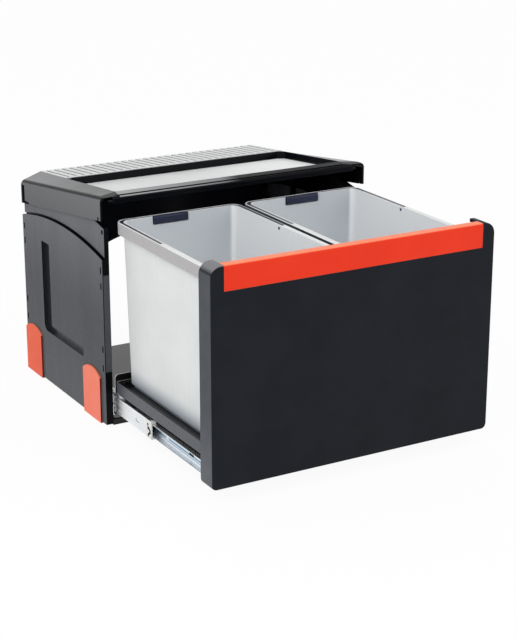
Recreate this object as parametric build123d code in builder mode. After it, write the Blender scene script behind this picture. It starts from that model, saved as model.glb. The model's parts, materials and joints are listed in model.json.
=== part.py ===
from build123d import *
from math import sqrt
import os

os.makedirs("parts", exist_ok=True)

# A free-standing pull-out waste unit, stored with its drawer fully out.
# X is to the right, the drawer comes out along -Y and Z is up.
# The origin is on the floor, in the middle of the housing.

# Clearances and small sizes that many pieces share
overrun = 1.0
fit_gap = 0.3
pin_gap = 0.05
screw_gap = 0.05

# Housing
housing_width = 440.0
housing_depth = 294.0
wall_thickness = 11.0
wall_skin = 3.0
wall_foot = 2.0
wall_end_height = 298.0
wall_rise = 16.0
arch_drop = 45.0
arch_rise = 17.0
arch_height = wall_end_height - arch_drop
shoulder = 4.0
half_width = housing_width / 2
half_depth = housing_depth / 2
front = -half_depth
rear = half_depth
wall_inner = half_width - wall_thickness

# Slide section, across its width and up from its middle
slide_height = 33.0
slide_width = 12.7
rail_sheet = 1.2
inner_sheet = 1.0
outer_half = 16.9
outer_depth = 10.4
outer_lip = 3.3
middle_web = 2.4
middle_half = 12.6
middle_depth = 7.0
middle_lip = 2.2
core_half = 8.9
core_depth = 8.0
sheet_bend = 1.6
outer_ball = 2.8
inner_ball = 2.4
cage_sheet = 0.4
ball_gap = 0.1

# Drawer, whose travel brings its tray just clear of the housing
drawer_gap = 1.0
tray_depth = 306.0
tray_lap = 15.0
travel = tray_depth - tray_lap + wall_skin
tray_bottom = 24.0
deck_height = 66.0
band_height = 14.5
band_proud = 9.0
tray_skin = 2.5
tray_corner = 12.0
pocket_depth = 3.0

# Slide lengths
outer_rail_front = 1.0
outer_rail_gap = 15.0
outer_rail_length = housing_depth - outer_rail_front - outer_rail_gap
inner_rail_gap = 18.0
inner_rail_length = travel - inner_rail_gap
middle_rail_length = 230.0
middle_inset = 31.0
cage_length = 90.0
ball_count = 4

# Front panel and its grip strip
panel_overhang = 1.0
panel_width = housing_width + 2 * panel_overhang
panel_thickness = 31.0
panel_bottom = 23.5
panel_drop = 20.0
panel_skin = 3.0
panel_side = 4.5
panel_top_corner = 16.0
panel_foot_corner = 8.0
grip_side = 20.0
grip_width = panel_width - 2 * grip_side
grip_height = 34.0
grip_sheet = 2.5
grip_wrap = 14.0

# Bins and their handles
bin_gap = 7.0
bin_side_gap = 7.5
bin_front_gap = 32.0
bin_width = wall_inner - bin_side_gap - bin_gap / 2
bin_pitch = bin_width + bin_gap
bin_depth = tray_depth - bin_front_gap
bin_corner = 16.0
bin_wall = 1.8
bin_taper = 5.3
rim_drop = 7.0
rim_skirt = 17.5
channel_width = 5.2
channel_depth = 13.0
notch_width = 57.0
notch_shift = 14.0
strap_width = 3.6
strap_height = 8.0
pivot_radius = 2.0

# Lid
lid_overhang = 0.5
lid_width = housing_width + 2 * lid_overhang
lid_cover = 19.0
lid_rise = 30.0
lid_shell = 3.0
lid_front_drop = 2.4
lid_rear_drop = 11.2
lid_skirt = 34.5
lid_corner = 9.0
lid_band = 32.5
tray_width = lid_width - 2 * lid_band
tray_front_rim = 19.0
tray_length = 171.0
tray_sink = 12.5
tray_draft = 1.5
tray_floor = 2.2
mat_sheet = 1.5
shelf_sheet = 1.2
shelf_gap = 3.0
groove_pitch = 12.8
groove_count = int(tray_width / groove_pitch)


def level(x, y, z):
    """Horizontal plane through a point."""
    return Plane(origin=(x, y, z))


def upright(y):
    """Plane across the housing at depth y, with X to the right and Z up."""
    return Plane.XZ.offset(-y)


def lengthwise(x):
    """Plane along the housing at width x, with Y to the right and Z up."""
    return Plane.YZ.offset(x)


def save(piece, name):
    """Label a finished piece and write it to its own file."""
    piece.part.label = name
    export_step(piece.part, f"parts/{name}.step")


def mirrored(piece):
    """The same piece for the other side of the unit."""
    with BuildPart() as other:
        mirror(piece.part, about=Plane.YZ)
    return other


def save_pair(piece, name):
    """Write a right-hand piece and its left-hand mirror."""
    save(piece, f"{name}_right")
    save(mirrored(piece), f"{name}_left")


# Side walls: a skin with flanges and ribs on its inner side

wall_flange = 8.0
rib_thickness = 3.0
rib_place = 50.0
pad_foot = 12.0
pad_height = 42.0
arch_line = 2.5
arch_line_depth = 6.5
groove_drop = 25.0
groove_width = 29.0
groove_rear = 75.0
groove_head = arch_height - groove_drop
groove_foot = 85.0
groove_leg = 13.0
groove_length = 146.0
groove_depth = 6.5
groove_bend = 12.0
groove_corner = 2.5
groove_backing = 2.5
snap_place_shares = (0.296, 0.393, 0.713, 0.792)
snap_height = 9.5
snap_depth = 4.0
vent_height = 6.0
vent_depth = 5.0


def wall_top(y):
    """Height of a side wall's arched top edge at depth y."""
    radius = (half_depth * half_depth + wall_rise * wall_rise) / (2 * wall_rise)
    return wall_end_height + wall_rise - radius + sqrt(radius * radius - y * y)


def arched_face(foot, ends, rise):
    """Face over the housing's whole depth, flat below and arched above."""
    with BuildSketch() as outline:
        with BuildLine():
            Polyline((front, ends), (front, foot), (rear, foot), (rear, ends))
            ThreePointArc((rear, ends), (0, ends + rise), (front, ends))
        make_face()
    return outline.sketch


def groove_face():
    """L-shaped outline of the wall's grip groove."""
    groove_front = groove_rear - groove_length
    inner_corner = (groove_rear - groove_width, groove_foot + groove_leg)
    with BuildSketch() as outline:
        with BuildLine():
            Polyline(
                (groove_rear, groove_foot),
                (groove_rear, groove_head),
                (groove_rear - groove_width, groove_head),
                inner_corner,
                (groove_front, groove_foot + groove_leg),
                (groove_front, groove_foot),
                close=True,
            )
        make_face()
    return outline.sketch


with BuildPart() as side_wall:
    with BuildSketch(lengthwise(wall_inner)):
        add(arched_face(wall_foot, wall_end_height, wall_rise))
    extrude(amount=wall_thickness)
    # Above the arched shoulder the wall steps inwards.
    with BuildSketch(lengthwise(half_width)):
        add(arched_face(arch_height, wall_end_height + wall_rise, wall_rise))
        add(arched_face(arch_height - overrun, arch_height, arch_rise), mode=Mode.SUBTRACT)
    extrude(amount=-shoulder, mode=Mode.SUBTRACT)
    # A narrow dark line runs along the shoulder.
    with BuildSketch(lengthwise(half_width)):
        add(arched_face(wall_foot, arch_height + arch_line, arch_rise))
        add(arched_face(0, arch_height, arch_rise), mode=Mode.SUBTRACT)
    extrude(amount=-arch_line_depth, mode=Mode.SUBTRACT)
    # Lower hollow, between the slide's pad and the shoulder, in three bays
    with BuildSketch(lengthwise(wall_inner)):
        add(arched_face(pad_foot + pad_height, arch_height - rib_thickness, arch_rise))
        with Locations((0, arch_height)):
            hollow_depth = housing_depth - 2 * wall_flange
            Rectangle(hollow_depth, 2 * arch_height, mode=Mode.INTERSECT)
        with Locations((-rib_place, arch_height), (rib_place, arch_height)):
            Rectangle(rib_thickness, 2 * arch_height, mode=Mode.SUBTRACT)
    extrude(amount=wall_thickness - wall_skin, mode=Mode.SUBTRACT)
    # Upper hollow, over the shoulder's rib
    with BuildSketch(lengthwise(wall_inner)):
        add(arched_face(arch_height, wall_end_height - wall_flange, wall_rise))
        add(arched_face(0, arch_height + rib_thickness, arch_rise), mode=Mode.SUBTRACT)
        with Locations((0, arch_height)):
            Rectangle(hollow_depth, 2 * arch_height, mode=Mode.INTERSECT)
        with Locations((-rib_place, arch_height), (rib_place, arch_height)):
            Rectangle(rib_thickness, 2 * arch_height, mode=Mode.SUBTRACT)
    extrude(amount=wall_thickness - shoulder - wall_skin, mode=Mode.SUBTRACT)
    # Grip groove, with its own floor behind the skin
    with BuildSketch(lengthwise(half_width - wall_skin)):
        add(groove_face())
        offset(amount=groove_backing, kind=Kind.INTERSECTION)
    extrude(amount=wall_skin - groove_depth - groove_backing)
    with BuildSketch(lengthwise(half_width)) as groove:
        add(groove_face())
        outer_bend = groove.vertices().group_by(Axis.X)[-1].sort_by(Axis.Y)[0]
        fillet(outer_bend, groove_bend)
        fillet(groove.vertices().group_by(Axis.Y)[-1], groove_corner)
        fillet(groove.vertices().group_by(Axis.X)[0], groove_corner)
    extrude(amount=-groove_depth, mode=Mode.SUBTRACT)
    # Snap slots at both ends, and the small vent near the top of the front end
    with BuildSketch(lengthwise(wall_inner)):
        for share in snap_place_shares:
            slot_height = share * wall_end_height
            slot_place = half_depth - wall_flange + snap_depth / 2
            with Locations((-slot_place, slot_height), (slot_place, slot_height)):
                Rectangle(snap_depth, snap_height)
        with Locations((-slot_place, wall_end_height - vent_height)):
            Rectangle(vent_depth, vent_height)
    extrude(amount=wall_thickness, mode=Mode.SUBTRACT)

# Rail screws: countersunk, flush in the fixed member and deep in the wall's pad

rail_screw_radius = 1.6
rail_screw_head = 3.2
rail_screw_length = 9.0
rail_screw_inset = 22.0
outer_rail_rear = front + outer_rail_front + outer_rail_length
rail_screw_places = (
    front + outer_rail_front + rail_screw_inset,
    (front + outer_rail_front + outer_rail_rear) / 2,
    outer_rail_rear - rail_screw_inset,
)


with BuildPart() as rail_screw:
    with BuildSketch(Plane.XY):
        with BuildLine():
            Polyline(
                (0, 0),
                (0, rail_screw_head),
                (rail_sheet, rail_screw_radius),
                (rail_screw_length, rail_screw_radius),
                (rail_screw_length, 0),
                close=True,
            )
        make_face()
    revolve(axis=Axis.X)

with BuildPart() as rail_screws:
    for place in rail_screw_places:
        with Locations((wall_inner - rail_sheet, place, slide_height)):
            add(rail_screw.part)

with BuildPart() as side_wall_right:
    add(side_wall.part)
    for place in rail_screw_places:
        with Locations(Plane(origin=(wall_inner, place, slide_height), z_dir=(1, 0, 0))):
            Cylinder(
                rail_screw_radius + screw_gap,
                rail_screw_length,
                align=(Align.CENTER, Align.CENTER, Align.MIN),
                mode=Mode.SUBTRACT,
            )

save_pair(side_wall_right, "side_wall")
save_pair(rail_screws, "rail_screws")

# Feet: pads with a round head on the outside of the walls, and a sole under them

foot_width = 59.5
foot_side = 70.0
foot_rise = 10.0
foot_proud = 2.3
front_foot_inset = 16.0


def foot(start):
    """Right-hand foot whose front edge is at depth start."""
    middle = start + foot_width / 2
    end = start + foot_width
    with BuildPart() as pad:
        with BuildSketch(lengthwise(half_width)):
            with BuildLine():
                Polyline((start, foot_side), (start, 0), (end, 0), (end, foot_side))
                ThreePointArc(
                    (end, foot_side), (middle, foot_side + foot_rise), (start, foot_side)
                )
            make_face()
        extrude(amount=foot_proud)
        with BuildSketch(lengthwise(wall_inner)):
            with Locations((middle, 0)):
                Rectangle(foot_width, wall_foot, align=(Align.CENTER, Align.MIN))
        extrude(amount=wall_thickness)
    return pad


save_pair(foot(front + front_foot_inset), "foot_front")
save_pair(foot(rear - foot_width), "foot_rear")

# Base: a pressed steel pan with a sunk corner round each floor screw

base_sheet = 2.5
base_height = 10.0
base_corner = 1.5
sunk_width = 36.0
sunk_depth = 36.0
sunk_gap = 5.0
sunk_height = 5.0
slot_inset = 25.0
slot_width = 5.0
slot_length = 12.0
slot_side = 22.0
slot_x = wall_inner - slot_side - fit_gap - wall_skin
slot_y = half_depth - slot_inset + wall_skin

with BuildPart() as base_plate:
    with BuildSketch(Plane.XY):
        Rectangle(2 * wall_inner, housing_depth)
    extrude(amount=base_height)
    fillet(base_plate.faces().sort_by(Axis.Z)[-1].edges(), base_corner)
    with BuildSketch(Plane.XY):
        Rectangle(2 * wall_inner - 2 * base_sheet, housing_depth - 2 * base_sheet)
        with GridLocations(2 * slot_x, 2 * slot_y, 2, 2):
            Rectangle(
                sunk_width + 2 * base_sheet,
                sunk_depth + 2 * base_sheet,
                mode=Mode.SUBTRACT,
            )
    extrude(amount=base_height - base_sheet, mode=Mode.SUBTRACT)
    with BuildSketch(Plane.XY.offset(base_height)):
        with GridLocations(2 * slot_x, 2 * slot_y, 2, 2):
            RectangleRounded(sunk_width, sunk_depth, sunk_gap)
    extrude(amount=sunk_height - base_height, mode=Mode.SUBTRACT)
    with BuildSketch(Plane.XY):
        with GridLocations(2 * slot_x, 2 * slot_y, 2, 2):
            SlotOverall(slot_length, slot_width)
    extrude(amount=base_height, mode=Mode.SUBTRACT)

save(base_plate, "base_plate")

# Rear frame: a thin cross frame with an arched opening, clipped into the walls

frame_sheet = 3.0
frame_arch_side = 6.0
frame_arch_drop = 96.0
frame_arch_top = wall_end_height - frame_arch_drop
frame_rise = 2.0
frame_top = wall_end_height + frame_rise
clip_sheet = 3.2
clip_reach = 5.0
clip_arm = 3.5

with BuildPart() as rear_frame:
    with BuildSketch(upright(rear)) as frame_face:
        with Locations((0, base_height)):
            Rectangle(
                2 * wall_inner,
                frame_top - base_height,
                align=(Align.CENTER, Align.MIN),
            )
        with Locations((0, base_height)):
            Ellipse(
                wall_inner - frame_arch_side,
                frame_arch_top - base_height,
                mode=Mode.SUBTRACT,
            )
    extrude(amount=frame_sheet)
    # Clips: an arm forwards beside the wall, with a hook out into its snap slot
    hook_front = rear - wall_flange + fit_gap
    for share in snap_place_shares:
        clip_place = share * wall_end_height
        for side in (-1, 1):
            arm_height = snap_height - 2 * fit_gap
            with BuildSketch(level(0, 0, clip_place - arm_height / 2)):
                with BuildLine():
                    Polyline(
                        (side * (wall_inner - clip_arm), rear - frame_sheet),
                        (side * (wall_inner - clip_arm), hook_front),
                        (side * (wall_inner + clip_reach), hook_front),
                        (side * (wall_inner + clip_reach), hook_front + clip_sheet),
                        (side * wall_inner, hook_front + clip_sheet),
                        (side * wall_inner, rear - frame_sheet),
                        close=True,
                    )
                make_face()
            extrude(amount=arm_height)

save(rear_frame, "rear_frame")

# Lid: a sloping shell with a sunk tray, side skirts and open-ended side channels

lid_half = lid_width / 2
tray_half = tray_width / 2
lid_rear_top = wall_end_height + lid_cover
lid_front_top = lid_rear_top + lid_rise
lid_slope = lid_rise / housing_depth
lid_cosine = 1 / sqrt(1 + lid_slope * lid_slope)
lip_foot = 14.0
lip_sheet = 3.0
front_fall = 2.2
front_nose = 4.0
channel_inset = 20.0
channel_leg = half_width - channel_inset
channel_leg_sheet = 2.5
channel_leg_length = 176.0
channel_leg_front = 11.0
channel_leg_rear = 4.0
curl_reach = 6.0
curl_sheet = 2.0
curl_length = 30.0
seat_rib = 4.0
seat_rib_inset = 5.0
seat_rib_places = (-90.0, 0.0, 90.0)
skirt_notch = 4.0
skirt_slot = 2.5
skirt_slot_length = 25.0
skirt_slot_foot = 4.5
recess_corner = 6.0
recess_rear_corner = 9.0


def lid_top(y):
    """Height of the lid's flat top at depth y."""
    return lid_rear_top + (rear - y) * lid_slope


def band_top(x, y):
    """Height of the sloping side band at width x and depth y."""
    along = (y - front) / housing_depth
    edge_drop = lid_front_drop + (lid_rear_drop - lid_front_drop) * along
    across = (x - tray_half) / (lid_half - tray_half)
    return lid_top(y) - across * edge_drop


def lid_section(y, drop, inset):
    """Cross-section of the lid at depth y, set in by the shell's thickness inside."""
    top = lid_top(y) - inset
    edge = lid_top(y) - drop - inset
    foot_height = lid_top(y) - drop - lid_skirt
    half = lid_half - inset
    with BuildSketch(upright(y)) as section:
        with BuildLine():
            Polyline(
                (-half, foot_height),
                (-half, edge),
                (-tray_half, top),
                (tray_half, top),
                (half, edge),
                (half, foot_height),
                close=True,
            )
        make_face()
        shoulders = [
            section.vertices().group_by(Axis.X)[0].sort_by(Axis.Y)[-1],
            section.vertices().group_by(Axis.X)[-1].sort_by(Axis.Y)[-1],
        ]
        fillet(shoulders, lid_corner - inset)
    return section.sketch


lid_plane = Plane(origin=(0, 0, lid_top(0)), x_dir=(1, 0, 0), z_dir=(0, lid_slope, 1))
recess_front = front + tray_front_rim
recess_middle = (recess_front + tray_length / 2) / lid_cosine


def recess_face(depth, grow):
    """Outline of the sunk tray at a depth below the lid's top, with its rear corners cut off."""
    with BuildSketch(lid_plane.offset(-depth)) as outline:
        with Locations((0, recess_middle)):
            Rectangle(tray_width + 2 * grow, tray_length / lid_cosine + 2 * grow)
        chamfer(outline.vertices().group_by(Axis.Y)[-1], recess_rear_corner)
        fillet(outline.vertices().group_by(Axis.Y)[0], recess_corner)
    return outline.sketch


with BuildPart() as lid:
    outer_sections = [
        lid_section(front, lid_front_drop, 0),
        lid_section(rear, lid_rear_drop, 0),
    ]
    loft(outer_sections, ruled=True)
    inner_sections = [
        lid_section(front, lid_front_drop, lid_shell),
        lid_section(rear, lid_rear_drop, lid_shell),
    ]
    loft(inner_sections, ruled=True, mode=Mode.SUBTRACT)
    # Sunk tray
    tray_low = recess_face(tray_sink + tray_floor, tray_floor - tray_draft)
    loft([recess_face(lid_shell / 2, tray_floor), tray_low], ruled=True)
    tray_hollow = [recess_face(0, 0), recess_face(tray_sink, -tray_draft)]
    loft(tray_hollow, ruled=True, mode=Mode.SUBTRACT)
    # Inset for the ribbed sheet behind the tray
    shelf_front = recess_front + tray_length + shelf_gap
    with BuildSketch(lid_plane):
        with Locations((0, (shelf_front + rear) / 2 / lid_cosine)):
            Rectangle(tray_width, (rear - shelf_front) / lid_cosine + overrun)
    extrude(amount=-shelf_sheet, mode=Mode.SUBTRACT)
    # Front lip, between the open ends of the side channels
    with BuildSketch(upright(front + lip_sheet)):
        with Locations((0, lid_front_top - lid_shell / 2)):
            Rectangle(2 * channel_leg, lip_foot - lid_shell / 2, align=(Align.CENTER, Align.MAX))
    extrude(amount=lip_sheet)
    # Rear lip, standing on the rear frame
    with BuildSketch(upright(rear)):
        rear_reach = wall_inner - overrun
        rear_under = lid_rear_top - lid_shell / 2
        band_under = band_top(rear_reach, rear) - lid_shell / 2
        with BuildLine():
            Polyline(
                (-rear_reach, frame_top),
                (-rear_reach, band_under),
                (-tray_half, rear_under),
                (tray_half, rear_under),
                (rear_reach, band_under),
                (rear_reach, frame_top),
                close=True,
            )
        make_face()
    extrude(amount=lip_sheet)
    for side in (-1, 1):
        # Inner leg of the side channel, tapering away towards the rear
        leg_end = front + channel_leg_length
        leg_face = side * (channel_leg - channel_leg_sheet)
        with BuildSketch(lengthwise(leg_face)):
            with BuildLine():
                Polyline(
                    (front, band_top(channel_leg, front) - lid_shell / 2),
                    (front, band_top(channel_leg, front) - channel_leg_front),
                    (leg_end, band_top(channel_leg, leg_end) - channel_leg_rear),
                    (leg_end, band_top(channel_leg, leg_end) - lid_shell / 2),
                    close=True,
                )
            make_face()
        extrude(amount=side * channel_leg_sheet)
        # Its foot curls outwards at the front.
        with BuildSketch(upright(front + curl_length)):
            curl_foot = band_top(channel_leg, front) - channel_leg_front
            with Locations((side * (channel_leg + curl_reach / 2), curl_foot)):
                Rectangle(curl_reach, curl_sheet, align=(Align.CENTER, Align.MIN))
        extrude(amount=curl_length)
        # Ribs that sit on the wall's arched top
        rib_start = channel_leg + seat_rib_inset
        rib_end = lid_half - lid_shell / 2
        for place in seat_rib_places:
            rib_face = max(place - seat_rib / 2, min(0, place + seat_rib / 2))
            rib_foot = wall_top(rib_face)
            rib_head = band_top(rib_start, place) - lid_shell / 2
            rib_outer = band_top(rib_end, place + seat_rib / 2) - lid_shell / 2
            with BuildSketch(upright(place + seat_rib / 2)):
                with BuildLine():
                    Polyline(
                        (side * rib_start, rib_foot),
                        (side * rib_start, rib_head),
                        (side * rib_end, rib_outer - lid_shell / 2),
                        (side * rib_end, rib_foot),
                        close=True,
                    )
                make_face()
            extrude(amount=seat_rib)
    # The front rim falls away to a rounded nose.
    with BuildSketch(lengthwise(-lid_half - overrun)):
        nose_top = lid_top(recess_front) - front_fall
        nose_slant = front_nose / sqrt(2)
        with BuildLine():
            Polyline(
                (recess_front, lid_front_top + lid_rise),
                (recess_front, lid_top(recess_front)),
                (front + front_nose, nose_top),
            )
            ThreePointArc(
                (front + front_nose, nose_top),
                (front + front_nose - nose_slant, nose_top - front_nose + nose_slant),
                (front, nose_top - front_nose),
            )
            Polyline(
                (front, nose_top - front_nose),
                (front - overrun, nose_top - front_nose),
                (front - overrun, lid_front_top + lid_rise),
                (recess_front, lid_front_top + lid_rise),
            )
        make_face()
    extrude(amount=lid_width + 2 * overrun, mode=Mode.SUBTRACT)
    # Notches in the skirts' lower edge, near the front and the rear
    with BuildSketch(lengthwise(-lid_half - overrun)):
        front_skirt_foot = lid_front_top - lid_front_drop - lid_skirt
        rear_skirt_foot = lid_rear_top - lid_rear_drop - lid_skirt
        with Locations(
            (front + 2 * skirt_notch, front_skirt_foot),
            (rear - 2 * skirt_notch, rear_skirt_foot),
        ):
            Rectangle(skirt_notch, 2 * skirt_notch)
    extrude(amount=lid_width + 2 * overrun, mode=Mode.SUBTRACT)
    # Upright slots beside the skirts' rear edges
    with BuildSketch(lengthwise(-lid_half - overrun)):
        with Locations((rear - skirt_notch, rear_skirt_foot + skirt_slot_foot)):
            Rectangle(skirt_slot, skirt_slot_length - skirt_slot, align=(Align.CENTER, Align.MIN))
    extrude(amount=lid_width + 2 * overrun, mode=Mode.SUBTRACT)

save(lid, "lid")

# Pale sheets on the lid: a plain one in the sunk tray and a ribbed one behind it

with BuildPart() as tray_mat:
    extrude(recess_face(tray_sink, -tray_draft - fit_gap), amount=mat_sheet)

save(tray_mat, "tray_mat")

shelf_rib = 0.8
groove_sink = 1.6
groove_line = 4.2
groove_inset = 7.0

with BuildPart() as shelf_mat:
    shelf_length = (rear - shelf_front) / lid_cosine
    shelf_middle = (shelf_front + rear) / 2 / lid_cosine
    with BuildSketch(lid_plane.offset(-shelf_sheet)):
        with Locations((0, shelf_middle)):
            Rectangle(tray_width - 2 * fit_gap, shelf_length - 2 * fit_gap)
    extrude(amount=shelf_sheet + shelf_rib)
    with BuildSketch(lid_plane.offset(shelf_rib)):
        with Locations((0, shelf_middle + groove_inset / 2)):
            with GridLocations(groove_pitch, 0, groove_count, 1):
                Rectangle(groove_line, shelf_length - groove_inset)
    extrude(amount=-groove_sink, mode=Mode.SUBTRACT)

save(shelf_mat, "shelf_mat")

# Slides: three nested members with two rows of balls between each pair

tray_rear = front - drawer_gap - wall_skin
tray_front = tray_rear - tray_depth
outer_rail_start = front + outer_rail_front
inner_rail_front = outer_rail_start - travel
middle_rail_front = outer_rail_start - travel / 2 + middle_inset
rail_hole = 2.2
rail_slot = 14.0
middle_slots = 3
bead_height = 5.0
bead_width = 1.2
bead_depth = 0.4


def sheet_section(end, path, bend, sheet):
    """Section of a bent sheet along a path, at depth end."""
    with BuildSketch(upright(end)) as section:
        with BuildLine():
            FilletPolyline(*path, radius=bend)
        trace(line_width=sheet)
    return section.sketch


def across(depth, height):
    """Point of the slide's section, from the wall's face and the slide's middle."""
    return (wall_inner - depth, slide_height + height)


with BuildPart() as outer_rail:
    outer_path = (
        across(outer_depth, -outer_half + outer_lip),
        across(outer_depth, -outer_half),
        across(rail_sheet / 2, -outer_half),
        across(rail_sheet / 2, outer_half),
        across(outer_depth, outer_half),
        across(outer_depth, outer_half - outer_lip),
    )
    outer_section = sheet_section(outer_rail_rear, outer_path, sheet_bend, rail_sheet)
    extrude(outer_section, amount=outer_rail_length)
    # End stop, bent inwards from the web
    stop_half = core_half - rail_sheet
    with BuildSketch(upright(outer_rail_rear)):
        with Locations((wall_inner - (rail_sheet + core_depth) / 2, slide_height)):
            Rectangle(core_depth, 2 * stop_half)
    extrude(amount=rail_sheet)
    # Countersunk screw holes, and slots between them
    for place in rail_screw_places:
        with Locations((wall_inner - rail_sheet, place, slide_height)):
            add(rail_screw.part, mode=Mode.SUBTRACT)
    slot_gap = (rail_screw_places[1] - rail_screw_places[0]) / 2
    with BuildSketch(lengthwise(wall_inner)):
        with Locations(
            (rail_screw_places[1] - slot_gap, slide_height),
            (rail_screw_places[1] + slot_gap, slide_height),
        ):
            SlotOverall(rail_slot, 2 * rail_hole)
    extrude(amount=-rail_sheet - overrun / 2, mode=Mode.SUBTRACT)

with BuildPart() as middle_rail:
    middle_path = (
        across(middle_web + middle_depth, -middle_half + middle_lip),
        across(middle_web + middle_depth, -middle_half),
        across(middle_web, -middle_half),
        across(middle_web, middle_half),
        across(middle_web + middle_depth, middle_half),
        across(middle_web + middle_depth, middle_half - middle_lip),
    )
    middle_rail_rear = middle_rail_front + middle_rail_length
    middle_section = sheet_section(middle_rail_rear, middle_path, sheet_bend, inner_sheet)
    extrude(middle_section, amount=middle_rail_length)
    with BuildSketch(lengthwise(wall_inner)):
        with Locations((middle_rail_front + middle_rail_length / 2, slide_height)):
            with GridLocations(middle_rail_length / middle_slots, 0, middle_slots, 1):
                SlotOverall(rail_slot, 2 * rail_hole)
    extrude(amount=-middle_web - inner_sheet, mode=Mode.SUBTRACT)
    # Two beads pressed along the web's outer face
    with BuildSketch(lengthwise(wall_inner - middle_web + inner_sheet / 2)):
        with Locations((middle_rail_front + middle_rail_length / 2, slide_height)):
            with GridLocations(0, 2 * bead_height, 1, 2):
                Rectangle(middle_rail_length, bead_width)
    extrude(amount=-bead_depth, mode=Mode.SUBTRACT)

# Screws between the inner member and the drawer's tray

tray_screw_head = 3.4
tray_screw_cap = 1.5
tray_screw_radius = 1.6
tray_screw_inset = 30.0
inner_web = slide_width - inner_sheet / 2
tray_screw_places = (
    inner_rail_front + tray_screw_inset,
    inner_rail_front + inner_rail_length / 2,
    inner_rail_front + inner_rail_length - tray_screw_inset,
)

with BuildPart() as inner_rail:
    inner_path = (
        across(inner_web - core_depth, -core_half),
        across(inner_web, -core_half),
        across(inner_web, core_half),
        across(inner_web - core_depth, core_half),
    )
    inner_rail_rear = inner_rail_front + inner_rail_length
    inner_section = sheet_section(inner_rail_rear, inner_path, sheet_bend, inner_sheet)
    extrude(inner_section, amount=inner_rail_length)
    for place in tray_screw_places:
        hole_plane = Plane(
            origin=(wall_inner - inner_web, place, slide_height), z_dir=(1, 0, 0)
        )
        with Locations(hole_plane):
            Cylinder(
                tray_screw_radius + screw_gap, 2 * inner_sheet, mode=Mode.SUBTRACT
            )
    with BuildSketch(lengthwise(wall_inner - slide_width)):
        with Locations((inner_rail_front + inner_rail_length / 2, slide_height)):
            with GridLocations(inner_rail_length / 2, 0, 2, 1):
                SlotOverall(rail_slot, 2 * rail_hole)
    extrude(amount=inner_sheet + overrun / 2, mode=Mode.SUBTRACT)

with BuildPart() as tray_screws:
    screw_seat = wall_inner - slide_width + inner_sheet
    for place in tray_screw_places:
        with BuildSketch(Plane(origin=(screw_seat, place, slide_height), z_dir=(1, 0, 0))):
            Circle(tray_screw_head)
        extrude(amount=tray_screw_cap)
        with BuildSketch(Plane(origin=(screw_seat, place, slide_height), z_dir=(1, 0, 0))):
            Circle(tray_screw_radius)
        extrude(amount=-inner_sheet - tray_skin)

save_pair(outer_rail, "outer_rail")
save_pair(middle_rail, "intermediate_rail")
save_pair(inner_rail, "inner_rail")
save_pair(tray_screws, "tray_screws")

# Moulded stop on the front end of the intermediate member

stop_cap = 6.0
stop_tongue = 5.0
stop_wall = 0.4
stop_inner = 1.4
stop_hole = 1.2
stop_hole_height = 7.5
stop_slot = 10.0
stop_slot_height = 3.5
stop_recess = 1.3

with BuildPart() as slide_stop:
    cap_outer = middle_half + inner_sheet / 2 + stop_wall / 2
    cap_back = middle_web - inner_sheet / 2 - stop_wall / 2
    cap_depth = middle_web + middle_depth + inner_sheet / 2
    with BuildSketch(upright(middle_rail_front)):
        with Locations((wall_inner - (cap_back + cap_depth) / 2, slide_height)):
            Rectangle(cap_depth - cap_back, 2 * cap_outer)
        core_reach = core_half + inner_sheet / 2 + fit_gap
        hollow_back = middle_web + stop_inner
        with Locations((wall_inner - hollow_back, slide_height)):
            Rectangle(
                slide_width, 2 * core_reach, align=(Align.MAX, Align.CENTER), mode=Mode.SUBTRACT
            )
    extrude(amount=stop_cap)
    with BuildSketch(upright(middle_rail_front + stop_tongue)):
        tongue_depth = hollow_back - middle_web - inner_sheet / 2
        tongue_middle = (hollow_back + middle_web + inner_sheet / 2) / 2
        with Locations((wall_inner - tongue_middle, slide_height)):
            Rectangle(tongue_depth, 2 * core_half)
    extrude(amount=stop_tongue)
    # A round recess and an upright one in the outer side
    with BuildSketch(lengthwise(wall_inner - cap_back)):
        with Locations((middle_rail_front - stop_cap / 2, slide_height + stop_hole_height)):
            Circle(stop_hole)
        with Locations((middle_rail_front - stop_cap / 2, slide_height - stop_slot_height)):
            SlotOverall(stop_slot, 2 * stop_hole, rotation=90)
    extrude(amount=-stop_recess, mode=Mode.SUBTRACT)

save_pair(slide_stop, "slide_stop")

# Ball cages: thin channels with a row of pockets in each flange, and their balls

outer_row = (outer_half - rail_sheet / 2 + middle_half + inner_sheet / 2) / 2
inner_row = (middle_half - inner_sheet / 2 + core_half + inner_sheet / 2) / 2
outer_cage_back = (rail_sheet + middle_web - inner_sheet / 2) / 2
inner_cage_back = middle_web + inner_sheet / 2 + stop_wall + cage_sheet / 2
outer_cage_reach = 7.2
inner_cage_reach = 4.8
outer_ball_depth = 6.0
inner_ball_depth = 6.6
outer_cage_front = front + 2 * wall_skin
inner_cage_front = middle_rail_front + stop_tongue + overrun


def ball_places(start):
    """Depths of the balls of one row, evenly spaced along the cage."""
    pitch = cage_length / ball_count
    return [start + pitch / 2 + pitch * number for number in range(ball_count)]


def ball_cage(start, back, reach, row, depth, radius):
    """Cage from depth start, with pockets for the balls in both flanges."""
    with BuildPart() as cage:
        cage_path = (
            across(back + reach, -row),
            across(back, -row),
            across(back, row),
            across(back + reach, row),
        )
        cage_section = sheet_section(
            start + cage_length, cage_path, sheet_bend / 2, cage_sheet
        )
        extrude(cage_section, amount=cage_length)
        for place in ball_places(start):
            with Locations((wall_inner - depth, place, slide_height)):
                Cylinder(radius + ball_gap, 2 * outer_half, mode=Mode.SUBTRACT)
    return cage


def ball_rows(start, row, depth, radius):
    """Both rows of balls of one cage."""
    with BuildPart() as balls:
        for place in ball_places(start):
            for height in (-row, row):
                with Locations((wall_inner - depth, place, slide_height + height)):
                    Sphere(radius)
    return balls


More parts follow.
